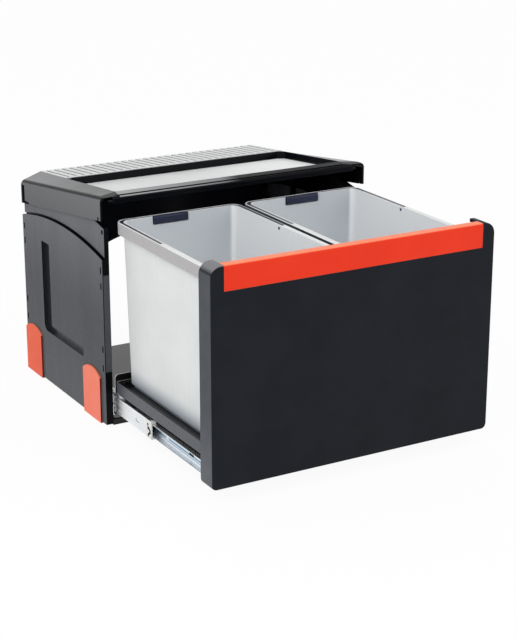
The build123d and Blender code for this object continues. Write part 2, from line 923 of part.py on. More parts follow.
outer_radius = outer_ball / 2
inner_radius = inner_ball / 2
outer_cage = ball_cage(
    outer_cage_front,
    outer_cage_back,
    outer_cage_reach,
    outer_row,
    outer_ball_depth,
    outer_radius,
)
inner_cage = ball_cage(
    inner_cage_front,
    inner_cage_back,
    inner_cage_reach,
    inner_row,
    inner_ball_depth,
    inner_radius,
)
save_pair(outer_cage, "outer_cage")
save_pair(inner_cage, "inner_cage")
save_pair(
    ball_rows(outer_cage_front, outer_row, outer_ball_depth, outer_radius), "outer_balls"
)
save_pair(
    ball_rows(inner_cage_front, inner_row, inner_ball_depth, inner_radius), "inner_balls"
)

# Bin tray: a ribbed moulding between the inner members, with a band above them

tray_half_width = wall_inner - slide_width
band_half_width = tray_half_width + band_proud
band_foot = deck_height - band_height
tray_middle = (tray_front + tray_rear) / 2
band_corner = 5.0
rib_sheet = 2.0
cross_ribs = 4
long_ribs = 3
deck_rim = 3.5
end_proud = 2.2
end_rise = 10.5
end_corner = 6.0
bin_centre_y = tray_rear - bin_depth / 2
bin_foot_width = bin_width - 2 * bin_wall - 2 * channel_width - 2 * bin_taper
bin_foot_depth = bin_depth - 2 * bin_wall - 2 * channel_width - 2 * bin_taper

with BuildPart() as bin_tray:
    with BuildSketch(level(0, tray_middle, tray_bottom)) as tray_foot:
        Rectangle(2 * tray_half_width, tray_depth)
        fillet(tray_foot.vertices().group_by(Axis.Y)[-1], tray_corner)
    extrude(amount=deck_height - tray_bottom)
    with BuildSketch(level(0, tray_middle, band_foot)) as tray_band:
        Rectangle(2 * band_half_width, tray_depth)
        fillet(tray_band.vertices().group_by(Axis.Y)[-1], band_corner)
    extrude(amount=deck_height + deck_rim - band_foot)
    fillet(bin_tray.faces().sort_by(Axis.Z)[-1].edges(), rib_sheet / 2)
    # Rear end plate, a little wider and higher than the band
    with BuildSketch(upright(tray_rear)) as end_plate:
        with Locations((0, band_foot)):
            end_height = deck_height + deck_rim + end_rise - band_foot
            Rectangle(
                2 * (band_half_width + end_proud), end_height, align=(Align.CENTER, Align.MIN)
            )
        fillet(end_plate.vertices().group_by(Axis.Y)[-1], end_corner)
    extrude(amount=tray_skin)
    # The deck lies inside a low rim and sinks a little under each bin.
    with BuildSketch(level(0, tray_middle, deck_height)) as deck:
        Rectangle(2 * band_half_width - 2 * deck_rim, tray_depth - 2 * deck_rim)
        fillet(deck.vertices().group_by(Axis.Y)[-1], band_corner - deck_rim)
    extrude(amount=deck_rim + overrun, mode=Mode.SUBTRACT)
    # The band is hollow from below where it overhangs the slides.
    with BuildSketch(level(0, tray_middle, band_foot)):
        Rectangle(2 * (band_half_width - tray_skin), tray_depth - 2 * tray_skin)
        Rectangle(2 * tray_half_width, tray_depth, mode=Mode.SUBTRACT)
    extrude(amount=band_height - tray_skin, mode=Mode.SUBTRACT)
    with BuildSketch(level(0, bin_centre_y, deck_height)):
        with GridLocations(bin_pitch, 0, 2, 1):
            RectangleRounded(
                bin_foot_width + overrun, bin_foot_depth + overrun, bin_corner - bin_taper
            )
    extrude(amount=-pocket_depth, mode=Mode.SUBTRACT)
    # Hollow from below, with ribs across the hollow
    with BuildSketch(level(0, tray_middle, tray_bottom)):
        Rectangle(
            2 * tray_half_width - 2 * tray_skin, tray_depth - 2 * tray_skin
        )
        with GridLocations(2 * tray_half_width / (cross_ribs + 1), 0, cross_ribs, 1):
            Rectangle(rib_sheet, tray_depth, mode=Mode.SUBTRACT)
        with GridLocations(0, tray_depth / (long_ribs + 1), 1, long_ribs):
            Rectangle(2 * tray_half_width, rib_sheet, mode=Mode.SUBTRACT)
    hollow_height = deck_height - pocket_depth - tray_skin - tray_bottom
    extrude(amount=hollow_height, mode=Mode.SUBTRACT)
    for place in tray_screw_places:
        screw_plane = Plane(origin=(0, place, slide_height), z_dir=(1, 0, 0))
        with Locations(screw_plane):
            Cylinder(
                tray_screw_radius + screw_gap, 2 * wall_inner, mode=Mode.SUBTRACT
            )

save(bin_tray, "bin_tray")

# Front panel: a shallow moulding, open behind, with ribs and four screw bosses

panel_top = lid_front_top - panel_drop
panel_half = panel_width / 2
panel_back = tray_front + tray_lap
panel_front = panel_back - panel_thickness
panel_middle = (panel_top + panel_bottom) / 2
panel_height = panel_top - panel_bottom
strip_gap = 0.4
boss_radius = 6.0
boss_pitch = 24.0
boss_side = 45.0
boss_foot = 80.0
boss_rise = 60.0
bracket_sheet = 2.0
bracket_face = tray_front - bracket_sheet
panel_rib = 9.0
upright_ribs = 5
level_ribs = 2
panel_foot_wall = 11.0
boss_places = [
    (side * (tray_half_width - boss_side + column * boss_pitch), boss_foot + row * boss_rise)
    for side in (-1, 1)
    for column in (0, 1)
    for row in (0, 1)
]


def panel_face(inset):
    """Outline of the panel with its larger corners at the top."""
    with BuildSketch(upright(panel_back)) as outline:
        with Locations((0, panel_middle)):
            Rectangle(panel_width - 2 * inset, panel_height - 2 * inset)
        fillet(outline.vertices().group_by(Axis.Y)[-1], panel_top_corner - inset)
        fillet(outline.vertices().group_by(Axis.Y)[0], panel_foot_corner - inset / 2)
    return outline.sketch


with BuildPart() as front_panel:
    extrude(panel_face(0), amount=panel_thickness)
    panel_edges = front_panel.faces().sort_by(Axis.Y)[0].edges()
    fillet(panel_edges, panel_skin / 2)
    extrude(
        panel_face(panel_side), amount=panel_thickness - panel_skin, mode=Mode.SUBTRACT
    )
    # Backing behind the grip strip
    strip_foot = panel_top - grip_height
    backing = grip_sheet + panel_skin
    with BuildSketch(upright(panel_front + backing)):
        with Locations((0, strip_foot - panel_skin)):
            Rectangle(
                grip_width + 2 * panel_skin,
                grip_height - panel_side + panel_skin,
                align=(Align.CENTER, Align.MIN),
            )
    extrude(amount=backing - panel_skin / 2)
    # The top wall is shallow between the side flanges.
    with BuildSketch(upright(panel_back)):
        with Locations((0, panel_top - 2 * panel_side)):
            Rectangle(grip_width, 3 * panel_side, align=(Align.CENTER, Align.MIN))
    extrude(amount=panel_thickness - grip_wrap - grip_sheet, mode=Mode.SUBTRACT)
    # So is the foot wall, which leaves room for the tray.
    with BuildSketch(upright(panel_back)):
        with Locations((0, panel_bottom + panel_side)):
            Rectangle(
                panel_width - 2 * panel_side,
                2 * panel_side,
                align=(Align.CENTER, Align.MAX),
            )
    extrude(amount=panel_thickness - panel_foot_wall, mode=Mode.SUBTRACT)
    # Ribs behind the skin
    with BuildSketch(upright(panel_front + panel_skin)):
        with Locations((0, panel_middle)):
            with GridLocations(panel_width / (upright_ribs + 1), 0, upright_ribs, 1):
                Rectangle(rib_sheet, panel_height - panel_side)
        with Locations((0, (panel_bottom + strip_foot) / 2)):
            with GridLocations(0, panel_height / (level_ribs + 1), 1, level_ribs):
                Rectangle(panel_width - panel_side, rib_sheet)
    extrude(amount=-panel_rib)
    # Bosses for the bracket screws
    boss_length = bracket_face - panel_front - panel_skin
    with BuildSketch(upright(bracket_face)):
        with Locations(*boss_places):
            Circle(boss_radius)
    extrude(amount=boss_length)
    # Recess for the grip strip, over the top edge
    with BuildSketch(lengthwise(-grip_width / 2 - strip_gap)):
        with BuildLine():
            Polyline(
                (panel_front - overrun, strip_foot - strip_gap),
                (panel_front + grip_sheet, strip_foot - strip_gap),
                (panel_front + grip_sheet, panel_top - grip_sheet),
                (panel_front + grip_wrap + grip_sheet, panel_top - grip_sheet),
                (panel_front + grip_wrap + grip_sheet, panel_top + overrun),
                (panel_front - overrun, panel_top + overrun),
                close=True,
            )
        make_face()
    extrude(amount=grip_width + 2 * strip_gap, mode=Mode.SUBTRACT)
    with BuildSketch(upright(bracket_face)):
        with Locations(*boss_places):
            Circle(tray_screw_radius + screw_gap)
    extrude(amount=boss_length, mode=Mode.SUBTRACT)

save(front_panel, "front_panel")

with BuildPart() as grip_strip:
    with BuildSketch(lengthwise(-grip_width / 2)) as strip_section:
        with BuildLine():
            Polyline(
                (panel_front, strip_foot),
                (panel_front + grip_sheet, strip_foot),
                (panel_front + grip_sheet, panel_top - grip_sheet),
                (panel_front + grip_wrap, panel_top - grip_sheet),
                (panel_front + grip_wrap, panel_top),
                (panel_front, panel_top),
                close=True,
            )
        make_face()
        nose = strip_section.vertices().group_by(Axis.X)[0].sort_by(Axis.Y)[-1]
        fillet(nose, grip_sheet)
    extrude(amount=grip_width)

save(grip_strip, "grip_strip")

# Brackets: bent steel plates that carry the panel on the tray's front

bracket_side = 60.0
bracket_inset = 1.0
bracket_margin = 15.0
bracket_head = boss_foot + boss_rise + bracket_margin
bracket_foot = 30.0
bracket_bend = 3.0
ear_length = 24.0
ear_foot = deck_height + deck_rim

with BuildPart() as panel_bracket:
    with BuildSketch(upright(tray_front)) as plate:
        with Locations((tray_half_width - bracket_inset, bracket_foot)):
            Rectangle(
                bracket_side, bracket_head - bracket_foot, align=(Align.MAX, Align.MIN)
            )
        fillet(plate.vertices().group_by(Axis.Y)[-1], bracket_bend * 2)
    extrude(amount=bracket_sheet)
    # Stiffening ear, bent back along the plate's outer edge above the tray
    with BuildSketch(lengthwise(tray_half_width - bracket_inset)):
        with BuildLine():
            Polyline(
                (tray_front - bracket_sheet / 2, ear_foot),
                (tray_front + ear_length, ear_foot),
                (tray_front - bracket_sheet / 2, bracket_head - 2 * bracket_bend),
                close=True,
            )
        make_face()
    extrude(amount=-bracket_sheet)
    with BuildSketch(upright(tray_front)):
        with Locations(*[place for place in boss_places if place[0] > 0]):
            Circle(tray_screw_radius + screw_gap)
        tray_bolt_height = (tray_bottom + deck_height) / 2
        tray_bolt_places = [
            (place[0], tray_bolt_height)
            for place in boss_places
            if place[0] > 0 and place[1] == boss_foot
        ]
        with Locations(*tray_bolt_places):
            Circle(tray_screw_radius + screw_gap)
    extrude(amount=bracket_sheet, mode=Mode.SUBTRACT)

save_pair(panel_bracket, "panel_bracket")

with BuildPart() as bracket_screws:
    for place in boss_places:
        if place[0] > 0:
            with BuildSketch(upright(tray_front)):
                with Locations(place):
                    Circle(tray_screw_head)
            extrude(amount=-tray_screw_cap)
            with BuildSketch(upright(tray_front)):
                with Locations(place):
                    Circle(tray_screw_radius)
            extrude(amount=bracket_sheet + boss_length / 2)
    for place in tray_bolt_places:
        with BuildSketch(upright(bracket_face)):
            with Locations(place):
                Circle(tray_screw_head)
        extrude(amount=tray_screw_cap)
        with BuildSketch(upright(bracket_face)):
            with Locations(place):
                Circle(tray_screw_radius)
        extrude(amount=-bracket_sheet)

save_pair(bracket_screws, "bracket_screws")

# Bins: tapered shells with a skirted rim that holds the handle

rim_height = lid_rear_top - rim_drop
bin_foot_height = deck_height - pocket_depth
foot_ring = 3.5
ring_sheet = 2.5
bin_floor = bin_foot_height + foot_ring
inner_half_x = bin_width / 2 - bin_wall - channel_width
inner_half_y = bin_depth / 2 - bin_wall - channel_width
wall_corner = bin_corner - bin_wall
ring_corner = 6.0
rim_round = 1.2
pivot_drop = 4.5
pivot_height = rim_height - pivot_drop
web_place = 5.0
notch_sink = 12.5
tab_width = 9.0
tab_height = 5.0
strap_x = inner_half_x + channel_width / 2
strap_y = inner_half_y + channel_width / 2


def rounded(x, z, half_x, half_y, corner):
    """Rounded rectangle about a bin's middle, at height z."""
    with BuildSketch(level(x, bin_centre_y, z)) as outline:
        RectangleRounded(2 * half_x, 2 * half_y, corner)
    return outline.sketch


def half_channel(x, z, towards):
    """One half of the rim's inside, in front of or behind the web at the pivots."""
    with BuildSketch(level(x, bin_centre_y, z)) as outline:
        RectangleRounded(
            bin_width - 2 * bin_wall, bin_depth - 2 * bin_wall, wall_corner
        )
        with Locations((0, towards * bin_wall / 2 - web_place)):
            Rectangle(
                bin_width,
                bin_depth,
                align=(Align.CENTER, Align.MIN if towards > 0 else Align.MAX),
                mode=Mode.INTERSECT,
            )
    return outline.sketch


def make_bin(centre, notch):
    """Bin about the width centre, with its finger notch about the width notch."""
    skirt_foot = rim_height - rim_skirt
    low_x = inner_half_x - bin_taper
    low_y = inner_half_y - bin_taper
    low_corner = wall_corner - bin_taper
    with BuildPart() as shell:
        # Rim: skirt, deck over the front half and handle channel round the rear half
        rim = rounded(centre, skirt_foot, bin_width / 2, bin_depth / 2, bin_corner)
        extrude(rim, amount=rim_skirt)
        fillet(shell.faces().sort_by(Axis.Z)[-1].edges(), rim_round)
        under_channel = half_channel(centre, skirt_foot, 1)
        floor_foot = rim_skirt - channel_depth - bin_wall
        extrude(under_channel, amount=floor_foot, mode=Mode.SUBTRACT)
        under_deck = half_channel(centre, skirt_foot, -1)
        extrude(under_deck, amount=rim_skirt - bin_wall, mode=Mode.SUBTRACT)
        channel = half_channel(centre, rim_height - channel_depth, 1)
        extrude(channel, amount=channel_depth, mode=Mode.SUBTRACT)
        # Tapered body
        body_foot = rounded(centre, bin_floor, low_x, low_y, low_corner)
        body_head = rounded(
            centre, rim_height, inner_half_x, inner_half_y, wall_corner - bin_wall
        )
        loft([body_foot, body_head], ruled=True)
        fillet(shell.faces().sort_by(Axis.Z)[0].edges(), bin_wall * 2)
        hollow_foot = rounded(
            centre,
            bin_floor + bin_wall,
            low_x - bin_wall,
            low_y - bin_wall,
            low_corner - bin_wall,
        )
        hollow_head = rounded(
            centre,
            rim_height,
            inner_half_x - bin_wall,
            inner_half_y - bin_wall,
            wall_corner - 2 * bin_wall,
        )
        loft([hollow_foot, hollow_head], ruled=True, mode=Mode.SUBTRACT)
        # Ring under the floor, which stands in the tray's pocket
        ring_x = low_x - 2 * bin_wall
        ring_y = low_y - 2 * bin_wall
        ring = rounded(centre, bin_foot_height, ring_x, ring_y, ring_corner)
        extrude(ring, amount=foot_ring)
        ring_hollow = rounded(
            centre,
            bin_foot_height,
            ring_x - ring_sheet,
            ring_y - ring_sheet,
            ring_corner - ring_sheet,
        )
        extrude(ring_hollow, amount=foot_ring, mode=Mode.SUBTRACT)
        # Finger notch in the inner wall at the rear
        notch_y = bin_centre_y + inner_half_y
        with BuildSketch(upright(notch_y + overrun)) as finger_notch:
            with Locations((notch, rim_height - notch_sink)):
                Rectangle(notch_width, 2 * notch_sink, align=(Align.CENTER, Align.MIN))
            fillet(finger_notch.vertices().group_by(Axis.Y)[0], bin_wall)
        extrude(amount=2 * bin_wall + 2 * overrun, mode=Mode.SUBTRACT)
        # Pivot holes in the inner side walls
        for side in (-1, 1):
            with BuildSketch(lengthwise(centre + side * strap_x)):
                with Locations((bin_centre_y, pivot_height)):
                    Circle(pivot_radius + pin_gap)
            extrude(amount=-side * channel_width, mode=Mode.SUBTRACT)
        # Small tab under the skirt at the rear
        with BuildSketch(upright(bin_centre_y + bin_depth / 2)):
            tab_x = centre - bin_width / 2 + bin_corner + tab_width
            with Locations((tab_x, skirt_foot)):
                Rectangle(tab_width, tab_height, align=(Align.CENTER, Align.MAX))
        extrude(amount=bin_wall)
    return shell


bin_places = {
    "left": (-bin_pitch / 2, -bin_pitch / 2 - notch_shift),
    "right": (bin_pitch / 2, bin_pitch / 2),
}
for side, (centre, notch) in bin_places.items():
    save(make_bin(centre, notch), f"bin_{side}")

# Handles: bails that lie in the rims' channels and turn on pins through the inner walls

grip_inset = 1.6
grip_depth = 8.6
grip_top = 0.3
grip_round = 1.5
pin_proud = 0.6


def make_handle(centre, notch):
    """Bail about the width centre, with its grip in the bin's finger notch."""
    strap_foot = pivot_height - strap_height / 2
    strap_rear = bin_centre_y + strap_y
    with BuildPart() as bail:
        with BuildSketch(level(0, 0, strap_foot)):
            with BuildLine():
                FilletPolyline(
                    (centre + strap_x, bin_centre_y),
                    (centre + strap_x, strap_rear),
                    (centre - strap_x, strap_rear),
                    (centre - strap_x, bin_centre_y),
                    radius=wall_corner - channel_width / 2,
                )
            trace(line_width=strap_width)
        extrude(amount=strap_height)
        # Grip, thicker than the strap and flush with the rim
        grip_rear = strap_rear + strap_width / 2
        with BuildSketch(lengthwise(notch - notch_width / 2 + grip_inset)) as grip_section:
            with Locations((grip_rear, rim_height - grip_top)):
                Rectangle(
                    grip_depth, notch_sink - 2 * grip_top - overrun, align=(Align.MAX, Align.MAX)
                )
            fillet(grip_section.vertices(), grip_round)
        extrude(amount=notch_width - 2 * grip_inset)
        # Round ends about the pivot, with pins into the bin's inner walls
        for side in (-1, 1):
            eye_face = centre + side * (strap_x + strap_width / 2)
            eye_plane = Plane(
                origin=(eye_face, bin_centre_y, pivot_height), z_dir=(-side, 0, 0)
            )
            with BuildSketch(eye_plane):
                Circle(strap_height / 2)
            extrude(amount=strap_width)
            pin_end = inner_half_x - bin_wall - pin_proud
            with BuildSketch(eye_plane):
                Circle(pivot_radius)
            extrude(amount=strap_x + strap_width / 2 - pin_end)
    return bail


for side, (centre, notch) in bin_places.items():
    save(make_handle(centre, notch), f"handle_{side}")
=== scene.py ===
import json
import math

import bmesh
import bpy
from mathutils import Matrix, Vector


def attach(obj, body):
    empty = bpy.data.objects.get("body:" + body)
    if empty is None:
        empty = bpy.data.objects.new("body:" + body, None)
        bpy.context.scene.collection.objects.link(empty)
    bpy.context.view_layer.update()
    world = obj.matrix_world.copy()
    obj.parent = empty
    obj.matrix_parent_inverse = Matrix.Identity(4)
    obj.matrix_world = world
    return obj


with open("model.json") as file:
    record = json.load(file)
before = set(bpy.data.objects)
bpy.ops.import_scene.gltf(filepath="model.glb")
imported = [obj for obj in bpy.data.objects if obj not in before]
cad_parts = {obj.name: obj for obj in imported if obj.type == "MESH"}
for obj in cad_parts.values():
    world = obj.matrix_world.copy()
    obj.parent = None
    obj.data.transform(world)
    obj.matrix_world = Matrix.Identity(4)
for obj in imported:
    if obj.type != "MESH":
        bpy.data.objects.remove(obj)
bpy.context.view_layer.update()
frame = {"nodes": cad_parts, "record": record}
nodes = frame["nodes"]

# Lengths are in metres. X runs to the right, Y to the rear and Z upwards.

# Camera: a long lens to the left of the unit, a little above it

CAMERA_PLACE = Vector((-1.1636, -2.2382, 0.9286))
CAMERA_YAW = math.radians(-29.81)
CAMERA_PITCH = math.radians(18.51)
CAMERA_LENS = 94.62
CAMERA_NEAR = 0.05
CAMERA_FAR = 50.0


def add_camera():
    """Camera at the photograph's angle, level from side to side."""
    back = Vector(
        (
            math.sin(CAMERA_YAW) * math.cos(CAMERA_PITCH),
            -math.cos(CAMERA_YAW) * math.cos(CAMERA_PITCH),
            math.sin(CAMERA_PITCH),
        )
    )
    right = Vector((math.cos(CAMERA_YAW), math.sin(CAMERA_YAW), 0.0))
    up = back.cross(right)
    data = bpy.data.cameras.new("camera")
    data.lens = CAMERA_LENS
    data.clip_start = CAMERA_NEAR
    data.clip_end = CAMERA_FAR
    camera = bpy.data.objects.new("camera", data)
    turn = Matrix((right, up, back)).transposed()
    camera.matrix_world = Matrix.Translation(CAMERA_PLACE) @ turn.to_4x4()
    bpy.context.scene.collection.objects.link(camera)
    bpy.context.scene.camera = camera


# Node helpers


def new_material(name):
    """Empty material with a Principled shader, and its node tree's parts."""
    material = bpy.data.materials.new(name)
    material.use_nodes = True
    tree = material.node_tree
    shader = tree.nodes["Principled BSDF"]
    return material, tree, shader


def object_point(tree):
    """Output with the point in the object's own metres."""
    return tree.nodes.new("ShaderNodeTexCoord").outputs["Object"]


def part_of(tree, vector, axis):
    """One coordinate of a vector."""
    split = tree.nodes.new("ShaderNodeSeparateXYZ")
    tree.links.new(vector, split.inputs[0])
    return split.outputs[axis]


def maths(tree, operation, first, second=None):
    """Result of one sum, whose second value may be a number."""
    node = tree.nodes.new("ShaderNodeMath")
    node.operation = operation
    tree.links.new(first, node.inputs[0])
    if isinstance(second, (int, float)):
        node.inputs[1].default_value = second
    elif second is not None:
        tree.links.new(second, node.inputs[1])
    return node.outputs[0]


def times(tree, first, *others):
    """Product of several values."""
    for other in others:
        first = maths(tree, "MULTIPLY", first, other)
    return first


def unsigned(tree, value):
    """Value without its sign."""
    return maths(tree, "ABSOLUTE", value)


def ramp(tree, value, start, end, low=0.0, high=1.0):
    """Value that runs smoothly from low to high between two places."""
    node = tree.nodes.new("ShaderNodeMapRange")
    node.interpolation_type = "SMOOTHSTEP"
    node.inputs["From Min"].default_value = start
    node.inputs["From Max"].default_value = end
    node.inputs["To Min"].default_value = low
    node.inputs["To Max"].default_value = high
    tree.links.new(value, node.inputs["Value"])
    return node.outputs["Result"]


FACE_BLUR = 0.0005
LINE_BLUR = 0.0003


def past(tree, value, place, blur=FACE_BLUR):
    """1 beyond a place and 0 before it."""
    return ramp(tree, value, place - blur, place + blur)


def short_of(tree, value, place, blur=FACE_BLUR):
    """1 before a place and 0 beyond it."""
    return ramp(tree, value, place + blur, place - blur)


def within(tree, value, low, high):
    """1 between two places and 0 outside them."""
    return times(tree, past(tree, value, low, LINE_BLUR), short_of(tree, value, high, LINE_BLUR))


# Facing is 1 along an axis, 0 across it and -1 against it.
SIDE_FACE = (0.6, 0.95)


def facing(tree, axis):
    """How far a surface faces along an axis of the object."""
    return part_of(tree, tree.nodes.new("ShaderNodeTexCoord").outputs["Normal"], axis)


def faces(tree, axis, turn):
    """1 on surfaces that face along an axis, blurred between two values of facing."""
    return ramp(tree, facing(tree, axis), *turn)


def sideways(tree, turn=SIDE_FACE):
    """1 on surfaces that face left or right."""
    return ramp(tree, unsigned(tree, facing(tree, "X")), *turn)


def noise(tree, point, scale, detail=4.0, stretch=(1.0, 1.0, 1.0)):
    """Noise of a scale per metre, drawn out along the axes with a small stretch."""
    mapping = tree.nodes.new("ShaderNodeMapping")
    mapping.inputs["Scale"].default_value = stretch
    tree.links.new(point, mapping.inputs["Vector"])
    texture = tree.nodes.new("ShaderNodeTexNoise")
    texture.inputs["Scale"].default_value = scale
    texture.inputs["Detail"].default_value = detail
    tree.links.new(mapping.outputs["Vector"], texture.inputs["Vector"])
    return texture.outputs["Fac"]


NOISE_LOW = 0.3
NOISE_HIGH = 0.7


def spread(tree, texture, low=0.0, high=1.0):
    """Noise spread from low to high, since its own values keep near the middle."""
    return ramp(tree, texture, NOISE_LOW, NOISE_HIGH, low, high)


def colour_between(tree, value, low, high):
    """Colour mixed by a value from 0 to 1, from colours or from other nodes."""
    node = tree.nodes.new("ShaderNodeMix")
    node.data_type = "RGBA"
    for socket, colour in (("A", low), ("B", high)):
        if isinstance(colour, tuple):
            node.inputs[socket].default_value = (*colour, 1.0)
        else:
            tree.links.new(colour, node.inputs[socket])
    tree.links.new(value, node.inputs["Factor"])
    return node.outputs["Result"]


def bump(tree, height, depth, below):
    """Bump normal from a height of 0 to 1 that stands for a depth, over another normal."""
    node = tree.nodes.new("ShaderNodeBump")
    node.inputs["Strength"].default_value = 1.0
    node.inputs["Distance"].default_value = depth
    tree.links.new(height, node.inputs["Height"])
    tree.links.new(below, node.inputs["Normal"])
    return node.outputs["Normal"]


EDGE_SAMPLES = 6
EDGE_START = 0.99
EDGE_FULL = 0.88
RUB_SCALE = 160.0
RUB_DETAIL = 5.0
RUB_RANGE = (0.35, 0.65)
RUB_LEAST = 0.45


def rounded_edges(tree, radius):
    """Normal that rounds every edge a little."""
    node = tree.nodes.new("ShaderNodeBevel")
    node.samples = EDGE_SAMPLES
    node.inputs["Radius"].default_value = radius
    return node.outputs["Normal"]


def edge_share(tree, soft, point):
    """Where an edge is near, broken up as rubbing would."""
    flat = tree.nodes.new("ShaderNodeNewGeometry").outputs["Normal"]
    dot = tree.nodes.new("ShaderNodeVectorMath")
    dot.operation = "DOT_PRODUCT"
    tree.links.new(soft, dot.inputs[0])
    tree.links.new(flat, dot.inputs[1])
    near = ramp(tree, dot.outputs["Value"], EDGE_START, EDGE_FULL)
    rubbed = ramp(tree, noise(tree, point, RUB_SCALE, RUB_DETAIL), *RUB_RANGE, RUB_LEAST, 1.0)
    return times(tree, near, rubbed)


def linear(red, green, blue):
    """Linear colour from screen values of 0 to 255."""
    return tuple(
        (v / 255 / 12.92) if v <= 10 else ((v / 255 + 0.055) / 1.055) ** 2.4
        for v in (red, green, blue)
    )


def grey(value, blue=3):
    """Cool grey from a screen value, and how much more blue it has."""
    return linear(value, value + blue / 3, value + blue)


# Side walls: painted sheen on their outer faces, and painted sheen and shade on the floors of
# their grip grooves

WALL_FACE = 0.214
WALL_FOOT = (0.13, 0.0)
WALL_HEAD = (0.15, 0.31)
WALL_STREAKS = 45.0
WALL_UNEVEN = 0.9
GROOVE_FLOOR = 0.2187
GROOVE_FOOT = 0.0845
GROOVE_HEAD = 0.2285
GROOVE_BLUR = 0.002
GROOVE_LEG = (0.038, 0.046)


def wall_tone(tree, point, colour):
    """Painted sheen that grows towards the walls' heads and feet, and grip grooves darkened with
    painted shade.
    """
    height = part_of(tree, point, "Z")
    across = unsigned(tree, part_of(tree, point, "X"))
    # Painted sheen on the outer faces, paler towards the foot and the head
    low = colour_between(tree, ramp(tree, height, *WALL_FOOT), grey(71, 6), grey(83, 7))
    sheen = colour_between(tree, ramp(tree, height, *WALL_HEAD), low, grey(101, 6))
    streaks = noise(tree, point, WALL_STREAKS, 1.0, stretch=(1.0, 1.0, 0.05))
    uneven = spread(tree, streaks, WALL_UNEVEN, 1.0)
    outer = times(tree, sideways(tree), uneven, past(tree, across, WALL_FACE))
    colour = colour_between(tree, outer, colour, sheen)
    # The groove's floor has painted sheen, with painted shade that makes it darker in its
    # upright leg than along its foot
    inside = times(
        tree,
        maths(tree, "LESS_THAN", across, GROOVE_FLOOR),
        ramp(tree, height, GROOVE_HEAD + GROOVE_BLUR, GROOVE_HEAD),
        ramp(tree, height, GROOVE_FOOT - GROOVE_BLUR, GROOVE_FOOT),
    )
    upright = ramp(tree, part_of(tree, point, "Y"), *GROOVE_LEG)
    floor = colour_between(tree, upright, grey(77, 5), grey(38, 6))
    return colour_between(tree, inside, colour, floor)


# Lid and rear frame: painted shade in the slot beside the lid's rear edge, then the lid's
# painted sheen by place

SLOT_SIDE = 0.211
SLOT_TURN = (0.25, 0.35)
SLOT_START = 0.1335
SLOT_END = 0.1440
SLOT_FOOT = 0.2765
SLOT_HEAD = 0.3015
HOOK_START = 0.117
HOOK_FOOT = 0.2705
HOOK_HEAD = 0.2775
SKIRT_FACE = 0.219
SKIRT_SHEEN = (0.27, 0.34)
FRAME_FRONT = (-0.7, -0.9)
FRAME_PLACE = (0.1, 0.11)
BAND_EDGE = 0.188
BAND_TURN = (0.85, 0.95)
BAND_SHEEN = (-0.14, 0.14)
LID_FRONT = -0.128
LID_FRONT_TURN = (0.5, 0.7)
LID_FRONT_END = 0.1885
LID_FRONT_FADE = (0.012, -0.026)
LID_FRONT_SHEEN = (-0.19, -0.02)


def painted_slot_shade(tree, point):
    """1 where shade is painted in the slot beside the lid's rear edge, which is hooked forwards
    at its foot.
    """
    height = part_of(tree, point, "Z")
    depth = part_of(tree, point, "Y")
    reach = unsigned(tree, part_of(tree, point, "X"))
    side = times(tree, sideways(tree, SLOT_TURN), past(tree, reach, SLOT_SIDE))
    slot_place = within(tree, depth, SLOT_START, SLOT_END)
    slot = times(tree, slot_place, side, within(tree, height, SLOT_FOOT, SLOT_HEAD))
    hook_place = within(tree, depth, HOOK_START, SLOT_END)
    hook = times(tree, hook_place, side, within(tree, height, HOOK_FOOT, HOOK_HEAD))
    return maths(tree, "MAXIMUM", slot, hook)


def lid_tone(tree, point, colour):
    """Painted sheen on the lid's skirts and side bands; a painted reflection makes its front rim
    pale towards the left.
    """
    height = part_of(tree, point, "Z")
    depth = part_of(tree, point, "Y")
    across = part_of(tree, point, "X")
    reach = unsigned(tree, across)
    # Painted sheen on the skirts' outer faces, paler towards the top
    skirt = colour_between(tree, ramp(tree, height, *SKIRT_SHEEN), grey(86, 4), grey(102, 4))
    outside = times(tree, sideways(tree), past(tree, reach, SKIRT_FACE))
    colour = colour_between(tree, outside, colour, skirt)
    # Painted shade in the slot beside the rear edge
    colour = colour_between(tree, painted_slot_shade(tree, point), colour, grey(2))
    # Painted faint light on the rear frame's front side
    painted_frame_light = times(tree, faces(tree, "Y", FRAME_FRONT), ramp(tree, depth, *FRAME_PLACE))
    colour = colour_between(tree, painted_frame_light, colour, linear(36, 38, 48))
    # Painted sheen on the upward faces of the side bands, paler towards the rear
    band = times(tree, past(tree, reach, BAND_EDGE), faces(tree, "Z", BAND_TURN))
    sheen = colour_between(tree, ramp(tree, depth, *BAND_SHEEN), grey(60), grey(122))
    colour = colour_between(tree, band, colour, sheen)
    # Painted reflection on the left of the front rim, paler towards the left end
    rim = times(
        tree,
        short_of(tree, depth, LID_FRONT),
        faces(tree, "Z", LID_FRONT_TURN),
        short_of(tree, reach, LID_FRONT_END, LINE_BLUR),
        ramp(tree, across, *LID_FRONT_FADE),
    )
    pale = colour_between(tree, ramp(tree, across, *LID_FRONT_SHEEN), grey(156, 2), grey(124, 2))
    return colour_between(tree, rim, colour, pale)


# Orange pieces: the feet under the walls, and the strip over the panel's top edge

FOOT_TOP = 0.085
FOOT_FRONT = (-0.6, -0.95)
FOOT_SHEEN = (0.05, -0.08)
STRIP_TOP = (0.5, 0.9)


